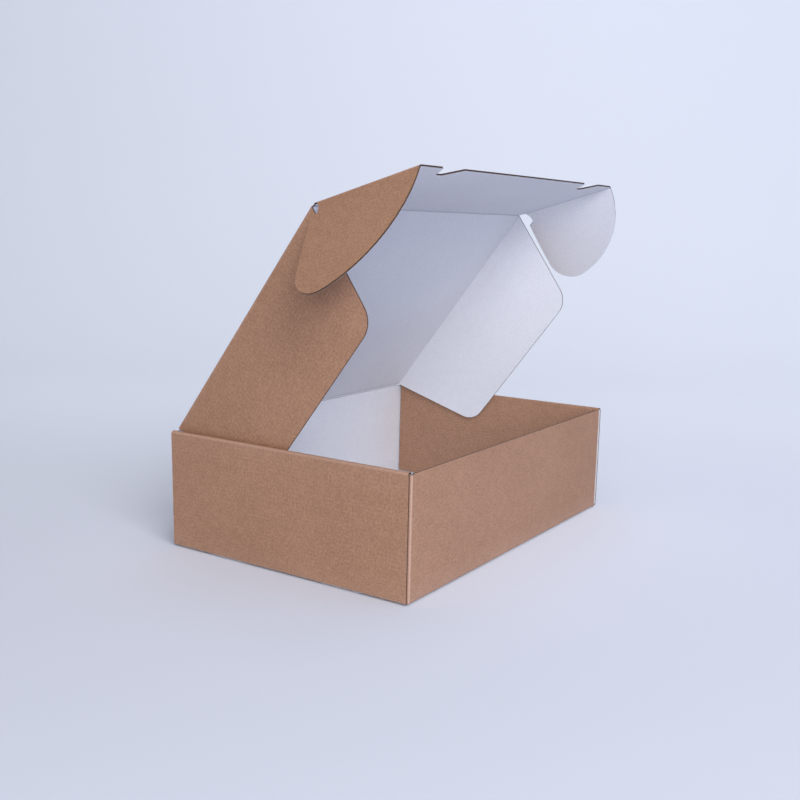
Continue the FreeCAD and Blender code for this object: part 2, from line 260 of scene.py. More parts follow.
def paper_material(name, base, dark, roughness):
    """Raw paper at cut edges and inside the board: one noise a fraction of a millimetre wide."""
    material, tree, surface = shader(name, Roughness=roughness, Specular_IOR_Level=0.2)
    place = add(tree, "ShaderNodeTexCoord").outputs["Object"]
    grain = add(tree, "ShaderNodeTexNoise", None, {"Vector": place},
                Scale=1800.0, Detail=3.0, Roughness=0.6)
    ramp = add(tree, "ShaderNodeValToRGB", None, {"Fac": grain.outputs[0]})
    ramp.color_ramp.elements[0].position = 0.35
    ramp.color_ramp.elements[1].position = 0.65
    ramp.color_ramp.elements[0].color = paint(dark)
    ramp.color_ramp.elements[1].color = paint(base)
    tree.links.new(ramp.outputs[0], surface.inputs["Base Color"])
    relief = add(tree, "ShaderNodeBump", None, {"Height": grain.outputs[0]},
                 Strength=1.0, Distance=0.00005)
    tree.links.new(relief.outputs[0], surface.inputs["Normal"])
    return material


# Darker than the papers themselves: painted shade for the shadowed cut edges.
FLUTING = paper_material("fluting_paper", "#5F4B40", "#45362D", 0.95)
CUT_KRAFT = paper_material("cut_kraft_edge", "#7A5F4D", "#5A4437", 0.95)
CUT_WHITE = paper_material("cut_white_edge", "#9C9597", "#7D7270", 0.9)
BACK_PAPER = paper_material("liner_back_paper", "#73594A", "#59453A", 0.95)
LINERS = [KRAFT, CUT_KRAFT, BACK_PAPER, WHITE, CUT_WHITE]
print("made", len(LINERS) + 1, "paper finishes")

# %% [markdown]
# A bent panel is drawn once as a line of straight runs and round turns, seen from its end. Any
# point of the board is then a distance along that line and an offset to one side of it, which is
# how a folder thinks of a sheet: the paper keeps its length and only its direction changes. A
# bevel on a bent slab would round both faces alike, while here the inner face turns tighter.

# %% Folded lines


def clamp(value):
    """The value, held between 0 and 1."""
    return max(0.0, min(1.0, value))


def bell(distance, width):
    """A smooth bump: 1 at distance 0, and nearly nothing past twice the width."""
    return math.exp(-(distance / width) ** 2)


def fold_line(start, heading, parts):
    """A line of ("run", mm) and ("turn", degrees, radius): its pieces and where to divide it."""
    x, y = start
    angle = math.radians(heading)
    along, pieces, marks = 0.0, [], [0.0]
    for part in parts:
        if part[0] == "run":
            pieces.append((along, along + part[1], x, y, angle, 0.0))
            marks += [along + 0.4, along + part[1] - 0.4] if part[1] > 2 else []
            x += part[1] * math.cos(angle)
            y += part[1] * math.sin(angle)
            along += part[1]
        else:
            bend, radius = math.radians(part[1]), part[2]
            length = abs(bend) * radius
            curve = math.copysign(1 / radius, bend)
            pieces.append((along, along + length, x, y, angle, curve))
            steps = max(3, round(abs(part[1]) / 12))
            marks += [along + length * k / steps for k in range(1, steps)]
            x += (math.sin(angle + bend) - math.sin(angle)) / curve
            y += (math.cos(angle) - math.cos(angle + bend)) / curve
            angle += bend
            along += length
        marks.append(along)
    return {"pieces": pieces, "marks": marks, "length": along}


def on_line(line, distance, offset):
    """The point at a distance along a folded line, offset to its left."""
    piece = line["pieces"][0]
    for candidate in line["pieces"]:
        if distance >= candidate[0] - 1e-9:
            piece = candidate
    start, _, x, y, angle, curve = piece
    step = distance - start
    if curve:
        turned = angle + step * curve
        x += (math.sin(turned) - math.sin(angle)) / curve
        y += (math.cos(angle) - math.cos(turned)) / curve
        angle = turned
    else:
        x += step * math.cos(angle)
        y += step * math.sin(angle)
    return x - offset * math.sin(angle), y + offset * math.cos(angle)


# %% [markdown]
# A piece of board is a row of columns. Each column stands at a distance across the flutes and runs
# along them from a lower to an upper end, so slanted ends, arcs and notches are only different
# ends, and no Boolean cut is needed. The function below builds both liners as closed skins, and an
# open sheet in the middle of the board that will become the wave.

# %% One piece of board


def divide(low, high, low_marks, high_marks, middle):
    """Stations along one column: fixed distances from both ends and an even middle."""
    lower = [low + d for d in low_marks]
    upper = [high - d for d in reversed(high_marks)]
    inner = [lower[-1] + (upper[0] - lower[-1]) * k / (middle + 1) for k in range(1, middle + 1)]
    return lower + inner + upper


def grid_faces(rows, stations, base, flip):
    """Quads over a grid of points, turned over where flip is true."""
    faces = []
    for i in range(rows - 1):
        for j in range(stations - 1):
            corner = base + i * stations + j
            quad = (corner, corner + stations, corner + stations + 1, corner + 1)
            faces.append(quad[::-1] if flip else quad)
    return faces


def rim_faces(rows, stations, top, bottom, flip):
    """Quads round the edge of two grids, which close a liner's skin."""
    ring = list(range(stations))
    ring += [i * stations + stations - 1 for i in range(1, rows)]
    ring += [(rows - 1) * stations + j for j in range(stations - 2, -1, -1)]
    ring += [i * stations for i in range(rows - 2, 0, -1)]
    faces = []
    for here, there in zip(ring, ring[1:] + ring[:1]):
        quad = (top + here, top + there, bottom + there, bottom + here)
        faces.append(quad[::-1] if flip else quad)
    return faces


def board_piece(columns, spot, low_marks=(0.0,), high_marks=(0.0,), middle=1, worn=None,
                crushed=None, mirrored=False, seed=0.0):
    """Columns are (across, low, high) in mm. spot(across, along, offset) gives a point in mm.

    The fold-colour function tells how far a place turns paler on kraft, from rubbing and as a
    painted highlight, and darker on white, as painted shade. crushed tells how much of the wave's
    height is left there, and seed shifts the paper's pattern, so that no two panels look the same.
    """
    verts, faces, kinds, uvs, rub_and_shading_values, across_of, height_of, wavy = [], [], [], [], [], [], [], []
    inset = 0.12

    def layer(rows, offset):
        base = len(verts)
        for across, low, high in rows:
            for along in divide(low, high, low_marks, high_marks, middle):
                verts.append(spot(across, along, offset))
                uvs.append(((across + seed) / 1000, along / 1000))
                rub_and_shading_values.append(worn(across, along) if worn else 0.0)
                across_of.append(across)
                height_of.append(WAVE * (crushed(across, along) if crushed else 1.0) / 1000)
        return base

    stations = len(divide(0, 100, low_marks, high_marks, middle))
    for outer, inner, skin, rim, hidden in ((SKIN, UNDER, 0, 1, 2), (-SKIN, -UNDER, 3, 4, 2)):
        top, bottom = layer(columns, outer), layer(columns, inner)
        turned = mirrored if outer > 0 else not mirrored
        made = grid_faces(len(columns), stations, top, turned)
        faces += made
        kinds += [skin] * len(made)
        made = grid_faces(len(columns), stations, bottom, not turned)
        faces += made
        kinds += [hidden] * len(made)
        made = rim_faces(len(columns), stations, top, bottom, turned)
        faces += made
        kinds += [rim] * len(made)
    wavy += [False] * len(faces)
    first, last = columns[0][0], columns[-1][0]
    count = max(2, round((last - first - 2 * inset) / (PITCH / 6)))
    knots = [c[0] for c in columns]
    inner_rows = []
    for k in range(count + 1):
        across = first + inset + (last - first - 2 * inset) * k / count
        low = float(np.interp(across, knots, [c[1] for c in columns]))
        high = float(np.interp(across, knots, [c[2] for c in columns]))
        inner_rows.append((across, low + inset, high - inset))
    base = layer(inner_rows, 0.0)
    made = grid_faces(len(inner_rows), stations, base, mirrored)
    faces += made
    kinds += [2] * len(made)
    wavy += [True] * len(made)
    return {"verts": verts, "faces": faces, "kinds": kinds, "uvs": uvs, "worn": rub_and_shading_values,
            "across": across_of, "height": height_of, "wavy": wavy}


def board_object(name, pieces):
    """One mesh object from several pieces of board, with their attributes."""
    keys = ("verts", "faces", "kinds", "uvs", "worn", "across", "height", "wavy")
    total = {key: [] for key in keys}
    for piece in pieces:
        base = len(total["verts"])
        for key in total:
            if key == "faces":
                total[key] += [tuple(v + base for v in face) for face in piece[key]]
            else:
                total[key] += piece[key]
    mesh = bpy.data.meshes.new(name)
    mesh.from_pydata([Vector(v) / 1000 for v in total["verts"]], [], total["faces"])
    for material in LINERS:
        mesh.materials.append(material)
    mesh.polygons.foreach_set("material_index", total["kinds"])
    for key in ("worn", "across", "height"):
        mesh.attributes.new(key, "FLOAT", "POINT").data.foreach_set("value", total[key])
    mesh.attributes.new("wavy", "BOOLEAN", "FACE").data.foreach_set("value", total["wavy"])
    layer = mesh.uv_layers.new(name="board")
    loops = np.zeros(len(mesh.loops), int)
    mesh.loops.foreach_get("vertex_index", loops)
    layer.data.foreach_set("uv", np.array(total["uvs"])[loops].ravel())
    thing = bpy.data.objects.new(name, mesh)
    bpy.context.scene.collection.objects.link(thing)
    return thing


# %% [markdown]
# The wave between the liners is the same everywhere, so one Geometry Nodes tree makes it for every
# piece. It takes the open middle sheet, lifts it up and down along its normal with a sine of the
# distance across the flutes, and gives the paper its thickness. An array of arcs could make it
# too, but would not follow the folds. The result is kept as a plain mesh.

# %% Fluting tree


def fluting_tree():
    """Board in, board out: its flat middle sheet becomes a wave with the thickness of paper."""
    tree = bpy.data.node_groups.new("fluting", "GeometryNodeTree")
    face = tree.interface
    face.new_socket("Board", in_out="INPUT", socket_type="NodeSocketGeometry")
    for title, value in (("Pitch", PITCH), ("Paper", PAPER / 1000)):
        face.new_socket(title, in_out="INPUT", socket_type="NodeSocketFloat").default_value = value
    face.new_socket("Board", in_out="OUTPUT", socket_type="NodeSocketGeometry")
    given = tree.nodes.new("NodeGroupInput").outputs
    wavy = add(tree, "GeometryNodeInputNamedAttribute", {"data_type": "BOOLEAN"}, Name="wavy")
    across = add(tree, "GeometryNodeInputNamedAttribute", {"data_type": "FLOAT"}, Name="across")
    height = add(tree, "GeometryNodeInputNamedAttribute", {"data_type": "FLOAT"}, Name="height")
    split = add(tree, "GeometryNodeSeparateGeometry", {"domain": "FACE"},
                {"Geometry": given["Board"], "Selection": wavy.outputs[0]})
    turns = add(tree, "ShaderNodeMath", {"operation": "DIVIDE"},
                {0: across.outputs[0], 1: given["Pitch"]})
    angle = add(tree, "ShaderNodeMath", {"operation": "MULTIPLY"},
                {0: turns.outputs[0], 1: 2 * math.pi})
    wave = add(tree, "ShaderNodeMath", {"operation": "SINE"}, {0: angle.outputs[0]})
    lift = add(tree, "ShaderNodeMath", {"operation": "MULTIPLY"},
               {0: wave.outputs[0], 1: height.outputs[0]})
    normal = add(tree, "GeometryNodeInputNormal")
    offset = add(tree, "ShaderNodeVectorMath", {"operation": "SCALE"},
                 {0: normal.outputs[0], "Scale": lift.outputs[0]})
    moved = add(tree, "GeometryNodeSetPosition", None,
                {"Geometry": split.outputs[0], "Offset": offset.outputs[0]})
    thick = add(tree, "GeometryNodeExtrudeMesh", {"mode": "FACES"},
                {"Mesh": moved.outputs[0], "Offset Scale": given["Paper"]}, Individual=False)
    under = add(tree, "GeometryNodeFlipFaces", None, {"Mesh": moved.outputs[0]})
    closed = add(tree, "GeometryNodeJoinGeometry", None, {"Geometry": thick.outputs[0]})
    tree.links.new(under.outputs[0], closed.inputs["Geometry"])
    welded = add(tree, "GeometryNodeMergeByDistance", None, {"Geometry": closed.outputs[0]},
                 Distance=0.000002)
    coloured = add(tree, "GeometryNodeSetMaterial", None, {"Geometry": welded.outputs[0]},
                   Material=FLUTING)
    joined = add(tree, "GeometryNodeJoinGeometry", None, {"Geometry": coloured.outputs[0]})
    tree.links.new(split.outputs[1], joined.inputs["Geometry"])
    real = add(tree, "GeometryNodeRealizeInstances", None, {"Geometry": joined.outputs[0]})
    result = tree.nodes.new("NodeGroupOutput")
    tree.links.new(real.outputs[0], result.inputs[0])
    return tree


FLUTES = fluting_tree()


def bake(thing, tree, inputs):
    """Run a tree on an object, keep the result as its plain mesh and remove the modifier."""
    modifier = thing.modifiers.new(tree.name, "NODES")
    modifier.node_group = tree
    sockets = {s.name: s.identifier for s in tree.interface.items_tree if s.in_out == "INPUT"}
    for title, value in inputs.items():
        modifier[sockets[title]] = value
    bpy.context.view_layer.update()
    evaluated = thing.evaluated_get(bpy.context.evaluated_depsgraph_get())
    mesh = bpy.data.meshes.new_from_object(evaluated, preserve_all_data_layers=True,
                                           depsgraph=bpy.context.evaluated_depsgraph_get())
    thing.modifiers.remove(modifier)
    thing.data = mesh
    mesh.name = thing.name
    mesh.shade_smooth()
    mesh.set_sharp_from_angle(angle=math.radians(42))
    return thing


def finish_board(thing):
    """Give a piece its wave and say how large it became."""
    bake(thing, FLUTES, {"Pitch": PITCH, "Paper": PAPER / 1000})
    print("%-22s %6d faces" % (thing.name, len(thing.data.polygons)))
    return thing


# %% [markdown]
# The tray's side walls are folded over: up, across the ledge and down inside, where two tabs lock
# into slots. In the picture the walls lean out a little at the top, the more so at the free
# corners, because nothing but the tabs holds them. The lean is under two millimetres, and less at
# the front, where the ears pass when the lid shuts. One folded line makes the whole wall, because
# it is one strip of the sheet.

# %% Side walls
WALL_END, ROLL_FRONT, ROLL_BACK = 119.3, 115.0, 117.3
LIFT, LEDGE_BEND, FOOT_BEND = 1.15, 1.3, 1.0


def lifted(z):
    """The bottom folds stand a little off the table, because the box rests on its flat middle."""
    return z + LIFT * max(0.0, 1 - z / 30) ** 2


def lean(x, y, z, side, share):
    """The outward lean of a side wall: more at the top, and more at the corners that stand open."""
    high = clamp(z / TOP)
    corner = max(0.0, (y if side < 0 else -y) / HALF_Y)
    most, foot = 1.3, 0.0
    if side > 0:
        most, foot = 0.5, 0.7 * corner ** 6 * min(1.0, z / 6) * (1 - high ** 2)
    return x + side * (0.3 * high + share * (most * high * corner ** 2 + foot))


def side_wall(side):
    rise = TOP - BOARD - LEDGE_BEND - FOOT_BEND
    drop = TOP - BOARD / 2 - LEDGE_BEND - LAYER
    line = fold_line((-(WALL_X - FOOT_BEND), BOARD / 2), 180, [
        ("turn", -90, FOOT_BEND), ("run", rise), ("turn", -90, LEDGE_BEND),
        ("run", (WALL_X - ROLL_X) - 2 * LEDGE_BEND), ("turn", -90, LEDGE_BEND), ("run", drop),
    ])
    wall_end = FOOT_BEND * math.pi / 2 + rise
    roll_start = line["length"] - drop

    def ends(s):
        if s < roll_start - 0.01:
            return -WALL_END + (0.5 if s > wall_end + 0.01 else 0.0), WALL_END
        return -ROLL_FRONT, ROLL_BACK

    stops = line["marks"] + [wall_end + 0.03, roll_start - 0.03]
    stops += [wall_end * k / 5 for k in range(1, 5)]
    stops += [roll_start + drop * k / 5 for k in range(1, 5)]
    stops = sorted(set(round(stop, 4) for stop in stops))

    def spot(s, y, offset):
        p, z = on_line(line, s, offset)
        share = clamp((roll_start - s) / (roll_start - wall_end))
        x = lean(p if side < 0 else -p, y, z, side, share)
        bulge = 0.5 * math.sin(math.pi * clamp(z / TOP)) * (1 - (y / HALF_Y) ** 2)
        outward = -1 if side < 0 else 1
        return x + outward * (bulge if s < wall_end else 0.0), y, lifted(z)

    # Top and bottom folds: rubbed kraft with a painted highlight, painted shade on the white face.
    def worn(s, y):
        near = min(abs(s - wall_end - 0.9), abs(s - 0.8))
        return 0.35 * bell(near, 0.9)

    columns = [(s, *ends(s)) for s in stops]
    seed = 400 if side < 0 else 900
    return board_piece(columns, spot, middle=9, worn=worn, mirrored=side > 0, seed=seed)


TAB_PLACE, TAB_HALF = 58, 19


def lock_tab(side, centre):
    """The end of an inner wall that stands in a slot of the bottom."""
    def spot(s, y, offset):
        return side * (ROLL_X - offset), y, s
    columns = [(s, centre - TAB_HALF, centre + TAB_HALF) for s in (0.06, 1.58)]
    return board_piece(columns, spot, middle=0, mirrored=side > 0)


for side, name in ((-1, "left"), (1, "right")):
    pieces = [side_wall(side)] + [lock_tab(side, centre) for centre in (-TAB_PLACE, TAB_PLACE)]
    wall = finish_board(board_object("tray_side_" + name, pieces))
    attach(wall, "tray")

# %% [markdown]
# The front and back walls are single board. Each carries two corner flaps that turn back between
# the layers of the side walls, so that the upright corner is a fold and not a cut edge. The front
# wall is a millimetre lower than the ledges, so that the tuck flap can slide in behind it. At its
# right end it is pressed in a little, which leaves the raw end of the side wall in view.

# %% Front and back walls


FRONT_FORWARD, PRESSED_IN = 0.6, 2.5
CORNER_BEND, FLAP_END, FLAP_SLOPE, FLAP_TOP = 1.0, 38.0, 9, TOP - 1.9


def front_shift(x):
    """The front wall stands a little forward at its left end, as the picture shows."""
    return FRONT_FORWARD * (0.5 - max(-0.5, min(0.5, x / (2 * HALF_X))))


def end_wall(face, top):
    """face is -1 for the front wall and 1 for the back wall."""
    flap = WALL_Y - FLAP_END - CORNER_BEND
    line = fold_line((-CORNER_X, -FLAP_END), 270, [
        ("run", flap), ("turn", 90, CORNER_BEND), ("run", 2 * (CORNER_X - CORNER_BEND)),
        ("turn", 90, CORNER_BEND), ("run", flap),
    ])
    total = line["length"]
    wall_start = flap + CORNER_BEND * math.pi / 2
    wall_stop = total - wall_start
    corner_start = 170.2

    def ends(s):
        if wall_start - 0.001 <= s <= wall_stop + 0.001:
            # Where it stands forward it is lower too, to clear the tuck flap as the lid shuts.
            lower = 0.73 * front_shift(s - total / 2) - 0.25 if face < 0 else 0.0
            inner = abs(s - total / 2) < corner_start
            return 1.7 - math.pi / 2, top - max(0.0, lower) if inner else FLAP_TOP
        away = max(0.0, (flap - s) / flap if s < wall_start else (s - total + flap) / flap)
        return 1.75 + FLAP_SLOPE * away, FLAP_TOP - FLAP_SLOPE * away

    def spot(s, z, offset):
        if z < 1.7:  # the fold into the bottom
            turned = 1.7 - z
            shift = (1.0 + offset) * math.cos(turned) - 1.0
            height = 1.7 - (1.0 + offset) * math.sin(turned)
        else:
            shift, height = offset, z
        x, y = on_line(line, s, -shift)
        crown = 0.35 * math.sin(math.pi * min(1.0, z / TOP)) * max(0.0, 1 - (x / 172) ** 2)
        inside = wall_start <= s <= wall_stop
        y -= crown if inside else 0.0
        if face < 0:
            behind = clamp((-115.2 - y) / 3.0)
            x -= PRESSED_IN * behind * clamp((x - 130) / 40) ** 2
            y -= front_shift(x)
        return x, y * -face, lifted(height) if inside else height

    # Painted highlight on the rounded upright corner, which is lit from both faces, and a paler
    # bottom fold, with rubbing; on the white face the same marks are painted shade.
    def worn(s, z):
        corner = min(abs(s - wall_start + 0.4), abs(s - wall_stop - 0.4))
        low = bell(z - 0.9, 1.0) if wall_start <= s <= wall_stop else 0.0
        return max(0.65 * bell(corner, 0.5), 0.3 * low)

    near = [wall_start + step for step in (-7.5, -5.5, -4.0, -2.5, -0.02, 0.6, 1.2, 2.4)]
    near += [total / 2 - corner_start - 0.01, total / 2 - corner_start + 0.01]
    stops = line["marks"] + near + [total - m for m in near]
    stops += [wall_start + (wall_stop - wall_start) * k / 12 for k in range(1, 12)]
    columns = [(s, *ends(s)) for s in sorted(set(round(stop, 4) for stop in stops))]
    arc = tuple(math.pi / 2 * k / 6 for k in range(7))
    return board_piece(columns, spot, low_marks=arc, middle=5, worn=worn, mirrored=face > 0,
                       seed=1500 + 700 * face)


FRONT_TOP = TOP - 1.0
BACK_TOP = HINGE[1] - FOLD
for face, name, top in ((-1, "front", FRONT_TOP), (1, "back", BACK_TOP)):
    wall = finish_board(board_object("tray_%s_wall" % name, [end_wall(face, top)]))
    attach(wall, "tray")

# %% [markdown]
# The bottom is the middle of the sheet. Its kraft face is underneath, and it has four slots beside
# the side walls for the lock tabs. It is laid from flat strips, so that the slots are real holes
# without a Boolean cut. Its rim rises by a millimetre towards the folds, which stand off the table.

# %% Bottom


def flat_strip(x0, x1, y0, y1):
    """A rectangle of the bottom between two slots or edges."""
    def spot(x, y, offset):
        rim = max(0.0, abs(x) - (EDGE_X - RIM), abs(y) - (EDGE_Y - RIM)) / RIM
        if abs(x) < SLOT_OUT + 0.01 and y < 0:
            y -= front_shift(x) * max(0.0, -y - EDGE_Y + RIM) / RIM
        return x, y, BOARD / 2 - offset + LIFT * rim ** 2
    stops = [x for x in (-168, -165.3, -110, -55, 0, 55, 110, 165.3, 168) if x0 < x < x1]
    columns = [(x, y0, y1) for x in [x0] + stops + [x1]]
    marks = (0.0, 2.5, 5.0, RIM) if y1 - y0 > 30 else (0.0,)
    return board_piece(columns, spot, low_marks=marks, high_marks=marks, middle=3, mirrored=True,
                       seed=3000)


SLOT_IN, SLOT_OUT, SLOT_HALF = ROLL_X - BOARD / 2 - 0.15, ROLL_X + BOARD / 2 + 0.15, TAB_HALF + 0.4
EDGE_X, EDGE_Y, RIM = WALL_X - FOOT_BEND, WALL_Y - FOOT_BEND, 8.0
strips = [flat_strip(-SLOT_IN, SLOT_IN, -EDGE_Y, EDGE_Y)]
for side in (-1, 1):
    low, high = sorted((side * SLOT_IN, side * SLOT_OUT))
    for y0, y1 in ((-EDGE_Y, -TAB_PLACE - SLOT_HALF),
                   (-TAB_PLACE + SLOT_HALF, TAB_PLACE - SLOT_HALF),
                   (TAB_PLACE + SLOT_HALF, EDGE_Y)):
        strips.append(flat_strip(low, high, y0, y1))
    low, high = sorted((side * SLOT_OUT, side * EDGE_X))
    strips.append(flat_strip(low, high, -WALL_END, WALL_END))
bottom = finish_board(board_object("tray_bottom", strips))
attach(bottom, "tray")
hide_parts("tray")

# %% [markdown]
# The lid and its flaps are drawn as folded lines and then placed by the directions below. Every
# moving flap brings its own crease with it: the first millimetre or two of its mesh lies on the
# panel that it hangs from and follows that panel when the flap turns, so a fold never opens into
# a gap. On the white side a crease is a raised bead between two pressed grooves.

# %% The lid's own axes
ALONG_LID = Vector((0, -math.cos(LID_ANGLE), math.sin(LID_ANGLE)))
INTO_LID = Vector((0, -math.sin(LID_ANGLE), -math.cos(LID_ANGLE)))
HINGE_POINT = Vector((0, HINGE[0], HINGE[1]))
TUCK_TILT = LID_ANGLE - TUCK_ANGLE
ALONG_TUCK = Vector((0, -math.cos(TUCK_TILT), math.sin(TUCK_TILT)))
INTO_TUCK = Vector((0, -math.sin(TUCK_TILT), -math.cos(TUCK_TILT)))
TUCK_POINT = HINGE_POINT + ALONG_LID * LID_LENGTH
print("tuck crease at", [round(v, 1) for v in TUCK_POINT])


def pressed(offset, distance, depth):
    """The white face of a crease: a raised bead between two grooves. The kraft face stays."""
    if offset > -UNDER + 0.01:
        return offset
    grooves = bell(distance - 1.2, 0.45) + bell(distance + 1.2, 0.45)
    return offset + depth * (grooves - bell(distance, 0.55))


def arc_marks(before, length, count, after):
    """Stations over a crease: a short flat, the bend and a short flat."""
    marks = [0.0] + [before + length * k / count for k in range(count + 1)]
    marks += [before + length + 0.3, before + length + after]
    return tuple(marks)


# %% [markdown]
# The lid panel has the hinge crease at its back edge, where the flutes are crushed. A flat board
# that has been cut and folded is never quite flat, so the panel bows by less than a millimetre.
# A blend between tray and lid turns the crease smoothly at every angle of the lid.

# %% Lid panel
LID_BOW, HINGE_BEND = 0.6, math.pi / 2 - LID_ANGLE
hinge_radius = FOLD / math.tan(HINGE_BEND / 2)
hinge_length = hinge_radius * HINGE_BEND
hinge_line = fold_line((HINGE[0], HINGE[1] - FOLD), 90, [
    ("turn", math.degrees(HINGE_BEND), hinge_radius), ("run", LID_LENGTH - 2 * FOLD)])


def lid_spot(x, b, offset):
    distance = b - hinge_length / 2
    offset = pressed(offset, distance, 0.25) if abs(distance) < 4 else offset
    rise = math.sin(math.pi * clamp((b - 3) / 231))
    bow = LID_BOW * max(0.0, 1 - (x / 167) ** 2) * rise
    y, z = on_line(hinge_line, b, -offset + bow)
    return Vector((x, y, z))


SHOULDER = 0.8


def lid_columns():
    """The lid's edges start a little after the hinge, so that its corners clear the ledges."""
    whole = hinge_line["length"]
    early = SHOULDER - FOLD + hinge_length
    shoulder = [(166.2, early, whole - 0.45), (165.2, early, whole - 0.45)]
    inner = [(x, 0.0, whole) for x in (165.18, 150, 120, 90, 60, 30, 0)]
    right = shoulder + inner
    left = [(-x, low, high) for x, low, high in right]
    return left[:-1] + right[::-1]


# Beside the hinge crease: paler kraft, rubbed and with a painted highlight; painted shade in the
# white grooves.
def lid_rub_and_shading(x, b):
    distance = b - hinge_length / 2
    return 0.8 * (bell(distance - 1.2, 0.5) + bell(distance + 1.0, 0.5))


def lid_crushed(x, b):
    return 0.2 + 0.8 * min(1.0, abs(b - hinge_length / 2) / 3)


lid_marks = tuple(hinge_length * k / 12 for k in range(16)) + (hinge_length + 2.5,)
lid = board_object("lid_board", [board_piece(
    lid_columns(), lid_spot, low_marks=lid_marks, middle=10, worn=lid_rub_and_shading, crushed=lid_crushed,
    seed=5000)])
finish_board(lid)
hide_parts("lid_panel")
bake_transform(lid)

# %% [markdown]
# The lid's side flaps are bent square to it. Their ends slant in and the free corners are large
# rounds, so that they slide into the tray easily when the lid is shut. The shape is given as the
# two ends of each column, a straight slope that runs into an arc.

# %% Side flaps of the lid
FLAP_TURN, LAP = 0.8, 1.0
FLAP_BACK, FLAP_FRONT = 0.8, 234.95
CORNER_BACK, CORNER_FRONT, CORNER_DEPTH, CORNER_ROUND = 35.4, 203.3, 95.5, 20


def flap_line():
    depth = FLAP_DEPTH - BOARD / 2 - FLAP_TURN
    return fold_line((FLAP_X - FLAP_TURN - LAP, 0.0), 0, [
        ("run", LAP), ("turn", 90, FLAP_TURN), ("run", depth)])


def flap_ends(depth):
    """Back and front end of the flap at a depth below the inner face of the lid."""
    slope_back = (CORNER_BACK - FLAP_BACK) / CORNER_DEPTH
    slope_front = (FLAP_FRONT - CORNER_FRONT) / CORNER_DEPTH
    depth = max(depth, 0.0)
    ends = []
    for start, slope, sign in ((FLAP_BACK, slope_back, 1), (FLAP_FRONT, slope_front, -1)):
        length = math.sqrt(1 + slope ** 2)
        centre_depth = FLAP_DEPTH - CORNER_ROUND
        centre = start + sign * (slope * centre_depth + CORNER_ROUND * length)
        if depth <= centre_depth + CORNER_ROUND * slope / length:
            ends.append(start + sign * slope * depth)
        else:
            half = math.sqrt(max(0.0, CORNER_ROUND ** 2 - (depth - centre_depth) ** 2))
            ends.append(centre - sign * half)
    return tuple(ends)


def side_flap(side):
    line = flap_line()
    bend_end = LAP + FLAP_TURN * math.pi / 2
    lip = bend_end - 0.1

    def spot(a, s, offset):
        x, n = on_line(line, a, -offset)
        point = HINGE_POINT + ALONG_LID * s + INTO_LID * n
        return Vector((side * x, point.y, point.z))

    deep = [0.5, 5, 15, 30, 45, 60, 72, 80, 84, 87.5, 90.3, 92.4, 93.9, 94.9, 95.45, FLAP_DEPTH]
    stops = [m for m in line["marks"] if m <= bend_end + 1e-6] + [lip + d for d in deep]
    columns = [(a, *flap_ends(a - lip)) for a in stops]

    # At the crease: rubbed kraft with a painted highlight, painted shade on the white face.
    def worn(a, s):
        return 0.7 * bell(a - LAP - 0.6, 0.5)

    def crushed(a, s):
        return 0.35 + 0.65 * min(1.0, abs(a - LAP - 0.6) / 2.5)

    return board_piece(columns, spot, middle=9, worn=worn, crushed=crushed, mirrored=side < 0,
                       seed=6000 + side * 300)


for side, name in ((-1, "left"), (1, "right")):
    flap = finish_board(board_object("side_flap_" + name, [side_flap(side)]))
    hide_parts("lid_side_flap_" + name)
    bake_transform(flap)

# %% [markdown]
# The tuck flap closes the box behind the front wall. Two tapered finger notches are cut in its
# free edge, and its side edges carry the ears. The floor of a notch meets its slopes in small
# rounds, as a bent steel rule in a die cuts them.

# %% Tuck flap
tuck_radius = FOLD / math.tan(TUCK_ANGLE / 2)
tuck_length = tuck_radius * TUCK_ANGLE
TUCK_LAP = 0.3
tuck_line = fold_line((LID_LENGTH - FOLD - TUCK_LAP, 0.0), 0, [
    ("run", TUCK_LAP), ("turn", math.degrees(TUCK_ANGLE), tuck_radius), ("run", TUCK_DEPTH - FOLD)])
TUCK_START = TUCK_LAP + tuck_length - FOLD
EAR_FOLD, EAR_LAP = 1.2, 0.3
NOTCH_PLACE, NOTCH_MOUTH = 124.0, 15.5


def notch_cut(x):
    """How deep the free edge is cut at a distance from the middle."""
    away = abs(abs(x) - NOTCH_PLACE)
    mouth, floor, depth, soft = NOTCH_MOUTH, 4.25, 14.2, 1.6
    if away >= mouth:
        return 0.0
    slope = depth / (mouth - floor)
    if away > floor + soft:
        return slope * (mouth - away)
    if away < floor - soft:
        return depth
    step = (floor + soft - away) / (2 * soft)
    return slope * (mouth - floor - soft + 2 * soft * (step - step ** 2 / 2))


def tuck_spot(x, b, offset):
    distance = b - TUCK_LAP - tuck_length / 2
    offset = pressed(offset, distance, 0.2) if abs(distance) < 4 else offset
    reach = max(0.0, (b - TUCK_START) / TUCK_DEPTH)
    bow = 0.3 * max(0.0, 1 - (x / 168) ** 2) * reach
    s, n = on_line(tuck_line, b, -offset - bow)
    point = HINGE_POINT + ALONG_LID * s + INTO_LID * n
    return Vector((x, point.y, point.z))


def tuck_columns():
    whole = tuck_line["length"]
    edge = [(168.4, TUCK_START + 1.5), (166.53, TUCK_START + 1.5), (166.5, 0.0)]
    rows = [(x, low, whole) for x, low in edge]
    near = [NOTCH_MOUTH + 0.02, NOTCH_MOUTH, 13, 10, 7.5, 5.85, 5.2, 4.5, 3.8, 3.2, 2.65, 0]
    spread = [NOTCH_PLACE + d for d in near] + [NOTCH_PLACE - d for d in reversed(near[:-1])]
    rows += [(x, 0.0, whole - notch_cut(x)) for x in spread]
    rows += [(x, 0.0, whole) for x in (80, 40, 0)]
    left = [(-x, low, high) for x, low, high in rows]
    return left[:-1] + rows[::-1]


